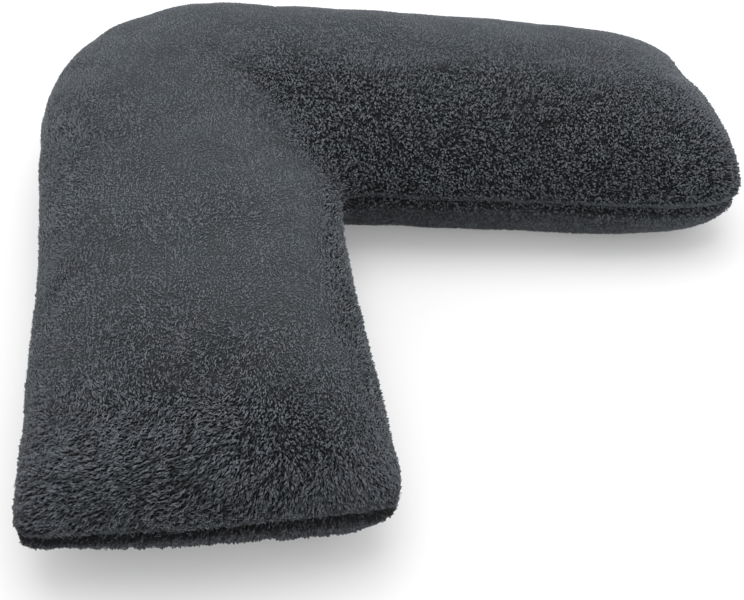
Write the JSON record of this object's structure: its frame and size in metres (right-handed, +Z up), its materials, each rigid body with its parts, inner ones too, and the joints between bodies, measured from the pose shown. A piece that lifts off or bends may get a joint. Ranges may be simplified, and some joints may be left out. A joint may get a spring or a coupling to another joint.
{
  "type": "v-shaped pillow",
  "caption": "V-shaped support pillow: a soft filled form with two arms and a rounded bend, in a short curly fleece cover.",
  "frame": {"origin": "centre of the pillow's overall length and width, at the surface it lies on", "axes": "+Z up through the pillow's thickness; +Y from the open side of the V towards its bend; +X across the two arms"},
  "size_m": [0.9672, 0.6656, 0.1571],
  "materials": {
    "fleece": "short curly pile, matte charcoal"
  },
  "bodies": {
    "root": {"pillow": "fleece"}
  },
  "joints": []
}
